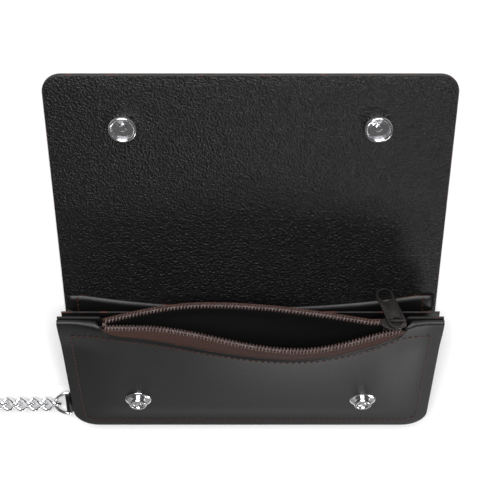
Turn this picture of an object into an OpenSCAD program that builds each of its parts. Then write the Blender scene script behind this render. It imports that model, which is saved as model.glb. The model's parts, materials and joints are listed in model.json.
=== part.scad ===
// Long leather chain wallet, lying open on its back.
// X runs along the fold, Y from the bottom edge towards the flap, Z up.
// The origin is the centre of the back panel's resting face.

/* [Cover] */
// Width of the wallet along the fold
cover_w = 178; // [165:1:190]
// Thickness of the cover leather
cover_t = 2; // [1.8:0.1:2.2]
// Length of the back panel, bottom edge to first fold
back_len = 92; // [90:1:96]
// Width of the spine between the two folds
spine_len = 15; // [15:0.5:18]
// Length of the flap, second fold to free edge
flap_len = 92; // [90:1:94]
// Corner radius of the flap's free edge
flap_corner = 8.5; // [5:0.5:12]
// Corner radius of the bottom edge
bottom_corner = 12; // [8:1:14]

/* [Inside leaves] */
// Thickness of the rear and middle leaves
leaf_t = 1; // [0.8:0.1:1]
// Lift of the middle leaf with the wallet open
leaf_lift = 7.5; // [6:0.5:8]
// Lift of the zip pocket with the wallet open
pocket_lift = 13.5; // [12:0.5:15]

/* [Zip pocket] */
// Length of the pocket, bottom edge to mouth
pocket_len = 89; // [88:0.5:89]
// Leather thickness of the pocket walls
pocket_t = 1.2; // [1:0.1:1.3]
// Angle between the pocket's front and back walls
pocket_wedge = 3.6; // [3.4:0.1:3.7]
// Thickness of one zip coil
coil_d = 1.6; // [1.4:0.1:1.6]
// Distance between the two open coils' centres
coil_gap = 3.3; // [3.2:0.1:3.3]

/* [Snaps] */
// Distance between the two snaps
snap_spacing = 111; // [100:1:120]
// Distance of the studs from the pocket's bottom edge
stud_up = 26; // [24:1:28]
// Radius of the snap flanges
snap_r = 6.4; // [6:0.1:6.8]

/* [Chain] */
// Outer width of a chain link
link_w = 8; // [7.8:0.1:8.2]
// Wire diameter of a chain link
link_d = 1.9; // [1.7:0.05:1.9]
// Length of chain taken up by one link
pitch = 6.6; // [6.5:0.05:6.6]
// Height of the chain's middle above the table
chain_z = 3.2; // [3.2:0.1:3.6]

/* [Hidden] */
$fn = 64;

gap = 0.3;
fold_gap = 0.15;
bottom_y = -46;
fold_y = bottom_y + back_len;
second_fold_y = fold_y + spine_len;
snap_x = snap_spacing / 2;
// the closed flap lies parallel to the pocket's front wall, so its snaps meet the studs
leaf_z = cover_t + leaf_t + gap;
leaf_len = 80.5;
pocket_z = leaf_z + leaf_t + gap;
seam_t = 2 * pocket_t;
socket_y = second_fold_y + back_len * cos(pocket_wedge)
    + (cover_t + spine_len - pocket_z - seam_t) * sin(pocket_wedge) - stud_up;
margin = 6.5;
divider_len = 80.5;

// mouth of the zip pocket, in the pocket's own frame: Y up the pocket, Z out of its back wall
mouth_x0 = -70;
mouth_x1 = 73;
window_edge = pocket_len - 5;
window_dip = 9;
coil_up = pocket_len - 1.5;
coil_z = (seam_t + pocket_len * sin(pocket_wedge)) / 2;
tape_t = 0.2;
slider_x = 65;
slider_l = 10.5;
post_w = 0.9;
tab_lean = 17;
tab_l = 24;
tab_w = 8.2;
tab_t = 1;
// the tab hangs this far from the slider's middle, towards the closed end of the zip
tab_x = 2;
plate_t = 0.9;
plate_up = coil_d / 2 + 0.3;
tab_up = plate_up + plate_t + 0.15;

socket_h = 3;
socket_in = 4.9;
stud_h = 3.6;
pin_r = 0.8;
cap_t = 0.8;

loop_x = -cover_w / 2 - 3.2;
loop_y = -35.4;
loop_t = 0.6;
loop_w = 11;
ring_r = 7;
ring_d = 1.7;
ring_lift = asin((chain_z - cover_t - loop_t) / ring_r);
link_in = pitch + 0.4;
near_links = 5;
middle_links = 17;
far_links = 20;
chain_x = loop_x - ring_r + ring_d / 2 + 0.5 - link_in / 2;
turn = 22.5;
// turn of each link from the one before: a quarter turn, then a half turn back the other way
near_turns = [for (i = [1:near_links]) 0];
middle_turns = [for (i = [1:middle_links]) i > 1 && i <= 5 ? -turn : 0];
far_turns = [for (i = [1:far_links]) i > 1 && i <= 9 ? turn : 0];
chain_turns = concat(near_turns, middle_turns, far_turns);
link_count = len(chain_turns);

function heading(i) = i < 0 ? 180 : heading(i - 1) + chain_turns[i];
function link_pos(i) = i <= 0 ? [chain_x, loop_y]
    : link_pos(i - 1) + pitch / 2 * [cos(heading(i - 1)) + cos(heading(i)), sin(heading(i - 1)) + sin(heading(i))];
function chain_end() = link_pos(link_count - 1)
    + pitch / 2 * [cos(heading(link_count - 1)), sin(heading(link_count - 1))];

module pocket_frame() {
    translate([0, bottom_y, pocket_z]) rotate([pocket_lift, 0, 0]) children();
}

module front_frame() {
    pocket_frame() translate([0, 0, seam_t]) rotate([pocket_wedge, 0, 0]) children();
}

module leaf_frame() {
    translate([0, bottom_y + 0.5, leaf_z]) rotate([leaf_lift, 0, 0]) children();
}

// flat piece of leather, its low edge on Y = 0
module sheet(w, l, t, r_low = 0, r_high = 0) {
    linear_extrude(t) {
        translate([-w / 2, r_low]) square([w, l - r_low - r_high]);
        for (s = [-1, 1]) {
            if (r_low > 0) translate([s * (w / 2 - r_low), r_low]) circle(r_low);
            if (r_high > 0) translate([s * (w / 2 - r_high), l - r_high]) circle(r_high);
        }
        if (r_low > 0) translate([r_low - w / 2, 0]) square([w - 2 * r_low, r_low]);
        if (r_high > 0) translate([r_high - w / 2, l - r_high]) square([w - 2 * r_high, r_high]);
    }
}

// ---- cover ----
module cover_back() {
    color([0.1, 0.09, 0.09])
        translate([0, bottom_y, 0]) sheet(cover_w, back_len - fold_gap, cover_t, bottom_corner);
}

module cover_spine() {
    color([0.1, 0.09, 0.09])
        translate([0, fold_y + fold_gap, 0]) sheet(cover_w, spine_len - 2 * fold_gap, cover_t);
}

module cover_flap() {
    color([0.1, 0.09, 0.09]) difference() {
        translate([0, second_fold_y + fold_gap, 0])
            sheet(cover_w, flap_len - fold_gap, cover_t, 0, flap_corner);
        for (s = [-1, 1]) translate([s * snap_x, socket_y, 0]) {
            translate([0, 0, -1]) cylinder(r = snap_r + 0.1, h = cap_t + 1);
            translate([0, 0, -1]) cylinder(r = 1.7, h = cover_t + 2);
        }
    }
}

// ---- snaps ----
module snap_socket(x) {
    color("silver") translate([x, socket_y, cover_t]) rotate_extrude() polygon([
        [1.6, 0], [snap_r, 0], [snap_r, socket_h - 0.7], [snap_r - 0.5, socket_h], [socket_in + 0.4, socket_h],
        [socket_in, socket_h - 0.4], [socket_in, socket_h - 0.9], [socket_in + 0.6, socket_h - 0.9],
        [socket_in + 0.6, socket_h - 1.8], [socket_in, socket_h - 1.8], [socket_in, 0.3], [1.6, 0.3]]);
}

module snap_spring(x) {
    color("gainsboro") translate([x, socket_y, cover_t + socket_h - 1.35]) rotate([0, 0, 105])
        rotate_extrude(angle = 330) translate([socket_in + 0.15, 0]) circle(0.35, $fn = 24);
}

module snap_cap(x) {
    top = cover_t + 0.35;
    color("silver") translate([x, socket_y, 0]) rotate_extrude() polygon([
        [0, 0], [snap_r, 0], [snap_r, cap_t], [1.45, cap_t], [1.45, top], [1.9, top + 0.3],
        [1.5, top + 0.4], [0.9, top + 0.2], [0, top + 0.2]]);
}

module stud(x) {
    color("silver") front_frame() translate([x, stud_up, 0]) rotate_extrude() polygon([
        [1.35, 0], [snap_r, 0], [snap_r, 0.35], [snap_r - 1.2, 0.8], [3.6, 0.8], [3.4, 1.6], [4.3, 2.4],
        [4.35, 3.1], [3.9, stud_h], [3, stud_h], [2.4, 2.7], [1.35, 2.7]]);
}

module stud_washer(x) {
    top = pocket_t + 2.7;
    color("silver") front_frame() translate([x, stud_up, -pocket_t]) rotate_extrude() polygon([
        [0, -0.6], [5, -0.6], [5, 0], [1.3, 0], [1.3, top], [1.8, top + 0.35],
        [1.4, top + 0.45], [0.8, top + 0.2], [0, top + 0.2]]);
}

// ---- leaves and gussets ----
module rear_divider() {
    scoop_r = 420;
    scoop = 7.5;
    color([0.09, 0.08, 0.08]) difference() {
        translate([0, bottom_y, cover_t]) sheet(cover_w - 3, divider_len, leaf_t, bottom_corner - 1.5);
        translate([0, bottom_y + divider_len - scoop + scoop_r, cover_t - 1]) cylinder(r = scoop_r, h = 4, $fn = 256);
        translate([-cover_w / 2 - 1, loop_y - loop_w / 2 - gap, cover_t - 1]) cube([14, loop_w + 2 * gap, 4]);
    }
}

module mid_divider() {
    color([0.1, 0.08, 0.08]) leaf_frame() sheet(cover_w, leaf_len, leaf_t, bottom_corner);
}

// folded side of a compartment: a thin wedge of leather between two leaves
module gusset(side, low, angle, length) {
    top = length * tan(angle) - 2 * gap;
    translate([side * (cover_w / 2 - 4), 0, 0]) rotate([90, 0, 90]) translate([0, 0, -0.4])
        linear_extrude(0.8) polygon([[low, gap], [length, gap], [length, top], [low, low * tan(angle) - gap]]);
}

module gusset_lower(side) {
    color([0.16, 0.1, 0.09]) translate([0, bottom_y + 0.5, cover_t + leaf_t]) gusset(side, 14, leaf_lift, 70);
}

module gusset_upper(side) {
    color([0.16, 0.1, 0.09]) leaf_frame() translate([0, 0, leaf_t])
        gusset(side, 14, pocket_lift - leaf_lift, 72);
}

// ---- zip pocket ----
module pocket_back() {
    color([0.1, 0.08, 0.08]) pocket_frame() difference() {
        sheet(cover_w, pocket_len, pocket_t, bottom_corner);
        translate([mouth_x0, window_edge, -1]) cube([mouth_x1 - mouth_x0, 10, 4]);
    }
}

module mouth_cut() {
    half = (mouth_x1 - mouth_x0) / 2;
    big_r = (half * half + window_dip * window_dip) / (2 * window_dip);
    translate([mouth_x0, window_edge, -9]) cube([mouth_x1 - mouth_x0, 20, 18]);
    intersection() {
        translate([(mouth_x0 + mouth_x1) / 2, window_edge - window_dip + big_r, -9])
            cylinder(r = big_r, h = 18, $fn = 256);
        translate([mouth_x0, window_edge - window_dip - 1, -9]) cube([mouth_x1 - mouth_x0, window_dip + 3, 18]);
    }
}

module pocket_front() {
    rise = pocket_len * tan(pocket_wedge);
    color([0.13, 0.12, 0.12]) {
        front_frame() difference() {
            translate([0, 0, -pocket_t]) sheet(cover_w, pocket_len, pocket_t, bottom_corner);
            mouth_cut();
            for (s = [-1, 1]) translate([s * snap_x, stud_up, -4]) cylinder(r = 1.3, h = 8);
        }
        pocket_frame() for (s = [-1, 1])
            translate([s * (cover_w - margin) / 2 - margin / 2, 0, 0]) rotate([90, 0, 90]) linear_extrude(margin)
                polygon([[bottom_corner, pocket_t], [pocket_len, pocket_t], [pocket_len, pocket_t + rise - 0.05],
                    [bottom_corner, pocket_t + bottom_corner * tan(pocket_wedge)]]);
    }
}

module tape_strip(z0) {
    translate([mouth_x0 + 2, window_edge - 4, z0]) cube([mouth_x1 - mouth_x0 - 4, 6.2, tape_t]);
}

module tape_back() {
    color([0.3, 0.2, 0.19]) pocket_frame() tape_strip(pocket_t);
}

module tape_front() {
    color([0.3, 0.2, 0.19]) front_frame()
        translate([mouth_x0 + 2, window_edge - window_dip - 4, -pocket_t - tape_t])
            cube([mouth_x1 - mouth_x0 - 4, window_dip + 6.2, tape_t]);
}

// one side of the open zip: a straight coil, round at both ends
module coil(z) {
    color([0.25, 0.17, 0.16]) pocket_frame() translate([mouth_x0 + 3, coil_up, z]) rotate([0, 90, 0]) {
        cylinder(d = coil_d, h = mouth_x1 - mouth_x0 - 6, $fn = 24);
        sphere(d = coil_d, $fn = 24);
        translate([0, 0, mouth_x1 - mouth_x0 - 6]) sphere(d = coil_d, $fn = 24);
    }
}

module zip_stop(x) {
    color([0.2, 0.16, 0.15]) pocket_frame()
        translate([x - 0.9, coil_up - 1, coil_z - coil_gap / 2 + coil_d / 2]) cube([1.8, 2, coil_gap - coil_d]);
}

// slider: wide outer plate, narrow inner plate, and the post that parts the coils
module zip_slider() {
    inner_w = 3.8;
    leg = 1.2;
    bar_up = tab_up + tab_t + 0.15;
    color([0.18, 0.17, 0.17]) pocket_frame() translate([slider_x, coil_up, coil_z]) {
        translate([-slider_l / 2 + 3, plate_up, 0]) rotate([-90, 0, 0]) linear_extrude(plate_t) {
            translate([0, -3.7]) square([slider_l - 6, 7.4]);
            circle(3);
            translate([slider_l - 6, 0]) circle(3);
        }
        translate([1 - slider_l / 2, -plate_up - plate_t, -inner_w / 2]) cube([slider_l - 2, plate_t, inner_w]);
        translate([-2, -plate_up - 0.1, -post_w / 2]) cube([4, 2 * plate_up + 0.2, post_w]);
        for (s = [-1, 1]) translate([tab_x + s * leg, plate_up + plate_t - 0.05, 0]) rotate([-90, 0, 0])
            cylinder(d = leg, h = bar_up - plate_up - plate_t + 0.1);
        translate([tab_x - 3.6, bar_up, -0.7]) cube([7.2, 0.6, 1.4]);
    }
}

// pull tab, hanging from the slider's bridge down behind the pocket
module pull_tab() {
    color([0.2, 0.19, 0.19]) pocket_frame() translate([slider_x + tab_x, coil_up + tab_up, coil_z])
        rotate([0, tab_lean, 0]) rotate([-90, 0, 0]) linear_extrude(tab_t) difference() {
            union() {
                translate([-tab_w / 2, 0]) square([tab_w, tab_l - tab_w]);
                circle(d = tab_w);
                translate([0, tab_l - tab_w]) circle(d = tab_w);
            }
            circle(d = 4.6);
            translate([-2.9, tab_l - tab_w - 0.6]) square([5.8, 1.2]);
            for (y = [-0.6, 0.6]) translate([0, tab_l - tab_w + y]) circle(d = 5.8);
        }
}

// ---- chain ----
// narrow strap folded round the ring and sewn between the cover and the rear divider
module chain_loop() {
    in_r = ring_d / 2 + 0.2;
    mid_z = cover_t + loop_t;
    color([0.12, 0.1, 0.1]) translate([loop_x, loop_y + loop_w / 2, mid_z]) rotate([90, 0, 0])
        linear_extrude(loop_w) difference() {
            union() {
                circle(in_r + loop_t);
                translate([0, -loop_t]) square([12 - cover_w / 2 - loop_x, 2 * loop_t]);
            }
            circle(in_r);
        }
}

// ring with one straight side, which the strap holds
module d_ring() {
    color("silver") translate([loop_x, loop_y, cover_t + loop_t]) rotate([0, ring_lift, 0]) {
        rotate([0, 0, 90]) rotate_extrude(angle = 180) translate([ring_r, 0]) circle(d = ring_d, $fn = 32);
        translate([0, ring_r, 0]) rotate([90, 0, 0]) cylinder(d = ring_d, h = 2 * ring_r, $fn = 32);
        for (s = [-1, 1]) translate([0, s * ring_r, 0]) sphere(d = ring_d, $fn = 32);
    }
}

module chain_link() {
    r = (link_w - link_d) / 2;
    half = (link_in + link_d) / 2 - r;
    for (s = [-1, 1]) {
        translate([s * half, 0, 0]) rotate([0, 0, -90 * s]) rotate_extrude(angle = 180) translate([r, 0]) circle(d = link_d, $fn = 24);
        translate([-half, s * r, 0]) rotate([0, 90, 0]) cylinder(d = link_d, h = 2 * half, $fn = 24);
    }
}

module chain_run(first, count) {
    color("silver") for (i = [first:first + count - 1])
        translate([link_pos(i)[0], link_pos(i)[1], chain_z]) rotate([0, 0, heading(i)])
            rotate([i % 2 == 0 ? 45 : -45, 0, 0]) chain_link();
}

// ---- hook ----
module hook_frame() {
    translate([chain_end()[0], chain_end()[1], chain_z]) rotate([0, 0, heading(link_count - 1)]) children();
}

// round eye with a short shank, which turns in the hook's collar
module hook_eye() {
    color("silver") hook_frame() rotate([link_count % 2 == 0 ? 45 : -45, 0, 0]) {
        translate([2.05, 0, 0]) rotate_extrude() translate([3, 0]) circle(d = 1.6, $fn = 24);
        translate([5.5, 0, 0]) rotate([0, 90, 0]) cylinder(d = 2, h = 5.8, $fn = 32);
        translate([11.3, 0, 0]) rotate([0, 90, 0]) cylinder(d = 3.2, h = 0.8, $fn = 32);
    }
}

module hook_body() {
    bow_r = 6.4;
    wire = 3.2;
    spine_y = 5.2;
    bow_x = 29.4;
    color("silver") hook_frame() difference() {
        union() {
            translate([8.2, 0, 0]) rotate([0, 90, 0]) cylinder(d = 6, h = 6, $fn = 48);
            translate([14, -6.2, -2.2]) cube([4, 13, 4.4]);
            translate([16, spine_y, 0]) rotate([0, 90, 0]) cylinder(d = wire, h = bow_x - 16, $fn = 32);
            translate([bow_x, spine_y - bow_r, 0]) rotate([0, 0, -90])
                rotate_extrude(angle = 180) translate([bow_r, 0]) circle(d = wire, $fn = 32);
            translate([bow_x - 2.6, spine_y - 2 * bow_r, 0]) rotate([0, 90, 0]) cylinder(d = wire, h = 2.6, $fn = 32);
        }
        translate([8, 0, 0]) rotate([0, 90, 0]) cylinder(d = 2.2, h = 4, $fn = 32);
        translate([11, 0, 0]) rotate([0, 90, 0]) cylinder(d = 3.6, h = 1.4, $fn = 32);
        translate([14.2, -6.3, -1.25]) cube([4, 4.3, 2.5]);
        hook_pin_place() cylinder(r = pin_r, h = 6, center = true, $fn = 24);
    }
}

module hook_pin_place() {
    translate([16.4, -4.3, 0]) children();
}

module hook_gate() {
    color("silver") hook_frame() hook_pin_place() difference() {
        union() {
            cylinder(r = 1.75, h = 1.4, center = true, $fn = 32);
            rotate([0, 0, -18.5]) translate([0, -0.9, -0.7]) cube([10.2, 1.8, 1.4]);
        }
        cylinder(r = pin_r + 0.04, h = 6, center = true, $fn = 24);
    }
}

module hook_gate_pin() {
    color("gainsboro") hook_frame() hook_pin_place() cylinder(r = pin_r, h = 4.4, center = true, $fn = 24);
}

// the gate's spring, a flat coil round the pin beside the gate
module hook_gate_spring() {
    color("gainsboro") hook_frame() hook_pin_place() translate([0, 0, 1.03]) rotate_extrude()
        translate([pin_r + 0.25, 0]) circle(d = 0.36, $fn = 16);
}

cover_back();
rear_divider();
chain_loop();
gusset_lower(-1);  // gusset_lower_left
gusset_lower(1);  // gusset_lower_right
cover_spine();
cover_flap();
snap_socket(-snap_x);  // snap_socket_left
snap_socket(snap_x);  // snap_socket_right
snap_spring(-snap_x);  // snap_spring_left
snap_spring(snap_x);  // snap_spring_right
snap_cap(-snap_x);  // snap_cap_left
snap_cap(snap_x);  // snap_cap_right
mid_divider();
gusset_upper(-1);  // gusset_upper_left
gusset_upper(1);  // gusset_upper_right
pocket_back();
pocket_front();
tape_back();
tape_front();
coil(coil_z - coil_gap / 2);  // coil_back
coil(coil_z + coil_gap / 2);  // coil_front
zip_stop(mouth_x0 + 3);  // zip_stop_left
zip_stop(mouth_x1 - 2.4);  // zip_stop_right
stud(-snap_x);  // stud_left
stud(snap_x);  // stud_right
stud_washer(-snap_x);  // stud_washer_left
stud_washer(snap_x);  // stud_washer_right
zip_slider();
pull_tab();
d_ring();
chain_run(0, near_links);  // chain_near
chain_run(near_links, middle_links);  // chain_middle
chain_run(near_links + middle_links, far_links);  // chain_far
hook_eye();
hook_body();
hook_gate();
hook_gate_pin();
hook_gate_spring();
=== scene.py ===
"""Long leather chain wallet: its leather, zip, snaps, chain and stage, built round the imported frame."""

import json
import math
import random

import bmesh
import bpy
from mathutils import Matrix, Vector


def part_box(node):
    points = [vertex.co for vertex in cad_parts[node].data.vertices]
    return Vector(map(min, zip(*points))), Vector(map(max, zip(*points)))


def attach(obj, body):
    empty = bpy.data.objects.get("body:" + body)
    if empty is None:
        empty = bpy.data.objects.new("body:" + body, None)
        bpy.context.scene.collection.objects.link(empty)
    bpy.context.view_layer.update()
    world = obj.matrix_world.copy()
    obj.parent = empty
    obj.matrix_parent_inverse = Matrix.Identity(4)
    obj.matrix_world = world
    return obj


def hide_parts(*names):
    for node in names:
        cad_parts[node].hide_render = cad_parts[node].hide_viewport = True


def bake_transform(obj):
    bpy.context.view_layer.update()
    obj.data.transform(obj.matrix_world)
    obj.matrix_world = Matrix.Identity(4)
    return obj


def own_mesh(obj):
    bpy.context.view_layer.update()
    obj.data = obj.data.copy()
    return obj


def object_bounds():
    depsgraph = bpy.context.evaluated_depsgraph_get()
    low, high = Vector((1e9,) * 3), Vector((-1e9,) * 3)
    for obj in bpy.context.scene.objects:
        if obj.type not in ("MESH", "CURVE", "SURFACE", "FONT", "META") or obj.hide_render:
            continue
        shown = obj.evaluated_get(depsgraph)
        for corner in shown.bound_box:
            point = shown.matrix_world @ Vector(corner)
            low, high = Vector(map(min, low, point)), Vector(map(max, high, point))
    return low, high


bl_info = {
    "name": "Chain Wallet",
    "version": (1, 0, 0),
    "blender": (4, 5, 0),
    "location": "View3D > Sidebar > Wallet",
    "description": "Makes a long leather wallet with a zip pocket, snaps and a chain",
    "category": "Add Mesh",
}

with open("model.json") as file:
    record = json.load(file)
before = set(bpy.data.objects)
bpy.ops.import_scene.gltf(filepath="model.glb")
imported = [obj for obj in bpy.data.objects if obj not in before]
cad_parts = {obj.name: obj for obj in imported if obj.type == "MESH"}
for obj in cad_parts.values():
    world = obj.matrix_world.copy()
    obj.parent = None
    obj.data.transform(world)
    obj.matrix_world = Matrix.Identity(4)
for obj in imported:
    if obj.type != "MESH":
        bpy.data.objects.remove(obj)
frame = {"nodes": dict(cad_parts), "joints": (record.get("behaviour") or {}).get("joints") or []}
CAD_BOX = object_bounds()
MM = 0.001
JOINTS = {j["name"]: j for j in frame["joints"]}

# ---- places worked out from the frame, in metres ----
BACK_LOW, BACK_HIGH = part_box("cover_back")
HALF_W = BACK_HIGH.x
BOTTOM_Y = BACK_LOW.y
COVER_T = BACK_HIGH.z
FOLD_Y = JOINTS["spine_fold"]["pos_m"][1]
SECOND_FOLD_Y = JOINTS["flap_fold"]["pos_m"][1]
FLAP_END_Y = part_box("cover_flap")[1].y
LEAF_TILT = math.radians(-JOINTS["leaf_swing"]["range_deg"][0])
POCKET_TILT = math.atan2(JOINTS["tab_turn"]["axis"][2], JOINTS["tab_turn"]["axis"][1])
POCKET_ORIGIN = Vector((0, BOTTOM_Y, JOINTS["pocket_swing"]["pos_m"][2]))
LEAF_ORIGIN = Vector(JOINTS["leaf_swing"]["pos_m"])
POCKET_NORMAL = Vector((0, -math.sin(POCKET_TILT), math.cos(POCKET_TILT)))
LEAF_NORMAL = Vector((0, -math.sin(LEAF_TILT), math.cos(LEAF_TILT)))

# ---- the zip pocket's own sizes, in millimetres up the pocket (s) and out of its back wall (n) ----
POCKET_LEN = 89
# thickness of both walls together where they are sewn
SEAM_T = 2.4
WALL_T = 1.2
WEDGE = math.radians(3.6)
CORNER_R = 12
# how far the lips of the mouth swell apart
FRONT_SWELL = 10.5
BACK_SWELL = 9.5
# the leather is turned over at the top corners, which thickens the sewn edge there
TOP_ROLL = 1.8
# distance of the seams from the edges
MARGIN = 5.2
MOUTH_X0, MOUTH_X1 = -70, 73
# centres of the closed coils: up the pocket, out of its back wall, and each one's distance from the middle
COIL_UP = 87.5
COIL_MID = 4.0
COIL_HALF_GAP = 1.65
# rows of the front wall: this share climbs the wall, and the rest are close together at its top
CLIMB_SHARE = 0.7
# a wave texture of scale 1 repeats every 0.31 units
WAVE_STEP = 0.31


def smooth(t):
    """Smooth step from 0 to 1."""
    t = min(max(t, 0.0), 1.0)
    return t * t * (3 - 2 * t)


def pocket_point(x, s, n):
    """A point of the zip pocket, given in its own millimetres, in the frame's metres."""
    c, d = math.cos(POCKET_TILT), math.sin(POCKET_TILT)
    return POCKET_ORIGIN + Vector((x, s * c - n * d, s * d + n * c)) * MM


def leaf_point(x, s, n):
    """A point of the middle leaf, given in its own millimetres, in the frame's metres."""
    c, d = math.cos(LEAF_TILT), math.sin(LEAF_TILT)
    return LEAF_ORIGIN + Vector((x, s * c - n * d, s * d + n * c)) * MM


def front_swell(x):
    """How far open the front lip is pulled at x, from 0 to 1: fullest right of the middle."""
    t = (x - 22) / (60 if x > 22 else 75)
    return math.cos(math.pi / 2 * t) ** 2 if abs(t) < 1 else 0.0


def back_swell(x):
    """How far the back lip leans away at x, from 0 to 1: fullest left of the middle."""
    t = (x + 20) / (75 if x > -20 else 49)
    return math.cos(math.pi / 2 * t) if abs(t) < 1 else 0.0


def front_coil(x):
    """Centre of the front coil at x, as (s, n)."""
    w = front_swell(x)
    return COIL_UP - 3.4 * w, COIL_MID + COIL_HALF_GAP + FRONT_SWELL * w


def back_coil(x):
    """Centre of the back coil at x, as (s, n)."""
    w = back_swell(x)
    return COIL_UP + 0.3 * w, COIL_MID - COIL_HALF_GAP - BACK_SWELL * w


def inside(x, s):
    """1 inside the sewn margins of the pocket, falling to 0 along its seams."""
    return smooth((HALF_W / MM - MARGIN - abs(x)) / 24) * smooth((s - MARGIN + 1) / 14)


def front_height(x, s):
    """Outer face of the pocket's front wall above its back wall."""
    swell = front_swell(x) * (max(s, 0) / 85) ** 2.4
    hold = inside(x, s)
    loose = hold * (s * math.sin(WEDGE) + FRONT_SWELL * swell)
    return SEAM_T + loose + (1 - hold) * TOP_ROLL * smooth((s - 66) / 20)


def back_height(x, s):
    """Outer face of the pocket's back wall, below zero where it leans away."""
    return -BACK_SWELL * inside(x, s) * back_swell(x) * (max(s, 0) / 86) ** 3


def bottom_edge(x):
    """Lower edge of the pocket at x, with its round corners."""
    over = abs(x) - (HALF_W / MM - CORNER_R)
    return CORNER_R - math.sqrt(max(CORNER_R**2 - over**2, 0)) if over > 0 else 0.0


def window_edge(x):
    """Upper edge of the front wall at x: full height beside the mouth, dipped below the zip."""
    if not MOUTH_X0 < x < MOUTH_X1:
        return POCKET_LEN
    middle, half = (MOUTH_X0 + MOUTH_X1) / 2, (MOUTH_X1 - MOUTH_X0) / 2
    t = abs(x - middle - 7 * (1 - ((x - middle) / half) ** 2)) / half
    corner = smooth((1 - t) / 0.06)
    return POCKET_LEN - 4.5 * corner - 11.0 * max(0.0, 1 - t**2) * corner


def back_edge(x):
    """Upper edge of the back wall at x."""
    if not MOUTH_X0 < x < MOUTH_X1:
        return POCKET_LEN
    return POCKET_LEN - 5.0 * smooth(min(x - MOUTH_X0, MOUTH_X1 - x) / 4)


# ---- settings a user would change ----
class WalletSizes(bpy.types.PropertyGroup):
    """Sizes that shape the looks."""

    edge_round: bpy.props.FloatProperty(
        name="Edge round", description="Rounding of the cut leather edges", default=0.45 * MM, unit="LENGTH"
    )
    stitch_pitch: bpy.props.FloatProperty(
        name="Stitch pitch", description="Distance from stitch to stitch", default=2.8 * MM, unit="LENGTH"
    )
    thread: bpy.props.FloatProperty(
        name="Thread", description="Diameter of the sewing thread", default=0.55 * MM, unit="LENGTH"
    )
    tooth_pitch: bpy.props.FloatProperty(
        name="Zip tooth pitch",
        description="Length of one turn of the zip coil",
        default=1.55 * MM,
        unit="LENGTH",
    )
    link_wire: bpy.props.FloatProperty(
        name="Link wire", description="Diameter of the chain's wire", default=1.9 * MM, unit="LENGTH"
    )


def hex_colour(code):
    """Linear RGBA of an sRGB hex code."""
    values = [int(code[i : i + 2], 16) / 255 for i in (1, 3, 5)]
    return (*[v / 12.92 if v <= 0.04045 else ((v + 0.055) / 1.055) ** 2.4 for v in values], 1.0)


def colour_setting(name, description, code):
    """A colour that a user can change."""
    return bpy.props.FloatVectorProperty(
        name=name, description=description, subtype="COLOR", size=4, default=hex_colour(code)
    )


class WalletColours(bpy.types.PropertyGroup):
    """Colours of the finishes."""

    leather: colour_setting("Leather", "The black leather", "#060606")
    raw_edge: colour_setting("Raw edge", "Cut leather edge", "#4A2015")
    thread: colour_setting("Thread", "Sewing thread", "#421810")
    tape: colour_setting("Zip tape", "Woven zip tape", "#3F2B26")
    coil: colour_setting("Zip coil", "Nylon zip coil", "#4A3B38")
    metal: colour_setting("Bright metal", "Plated metal", "#E8E8EA")


# ---- small tools ----
def add_node(tree, kind, settings=None, inputs=None):
    """Adds a node; an input given as (node, output) is linked, and any other is set."""
    made = tree.nodes.new(kind)
    for name, value in (settings or {}).items():
        setattr(made, name, value)
    for name, value in (inputs or {}).items():
        if isinstance(value, tuple) and len(value) == 2 and isinstance(value[0], bpy.types.Node):
            tree.links.new(value[0].outputs[value[1]], made.inputs[name])
        else:
            made.inputs[name].default_value = value
    return made


def new_material(name):
    """An empty node material with its output, as (material, tree)."""
    material = bpy.data.materials.new(name)
    material.use_nodes = True
    material.node_tree.nodes.clear()
    return material, material.node_tree


def close_material(tree, **inputs):
    """Ends a material in a Principled shader with these inputs."""
    settings = {key.replace("_", " "): value for key, value in inputs.items()}
    shader = add_node(tree, "ShaderNodeBsdfPrincipled", inputs=settings)
    add_node(tree, "ShaderNodeOutputMaterial", inputs={"Surface": (shader, "BSDF")})


def ramp(tree, source, stops):
    """A colour ramp over source, with stops as (position, colour)."""
    made = add_node(tree, "ShaderNodeValToRGB", inputs={"Fac": source})
    elements = made.color_ramp.elements
    elements[0].position, elements[0].color = stops[0]
    elements[1].position, elements[1].color = stops[-1]
    for position, colour in stops[1:-1]:
        elements.new(position).color = colour
    return made


def noise(tree, place, size_mm, detail, **more):
    """A noise texture with lumps about size_mm across."""
    inputs = {"Vector": (place, "Object"), "Scale": 1 / (size_mm * MM), "Detail": detail, **more}
    return add_node(tree, "ShaderNodeTexNoise", inputs=inputs)


def relief_bump(tree, source, strength, depth_mm, **more):
    """A bump from a (node, output) height."""
    inputs = {"Height": source, "Strength": strength, "Distance": depth_mm * MM, **more}
    return add_node(tree, "ShaderNodeBump", inputs=inputs)


def map_range(tree, source, before, after):
    """Maps source from the range before to the range after."""
    inputs = {"Value": source, "From Min": before[0], "From Max": before[1]}
    inputs |= {"To Min": after[0], "To Max": after[1]}
    return add_node(tree, "ShaderNodeMapRange", inputs=inputs)


def shade(colour, factor):
    """A colour made lighter or darker."""
    return (*[channel * factor for channel in colour[:3]], 1.0)


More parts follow.
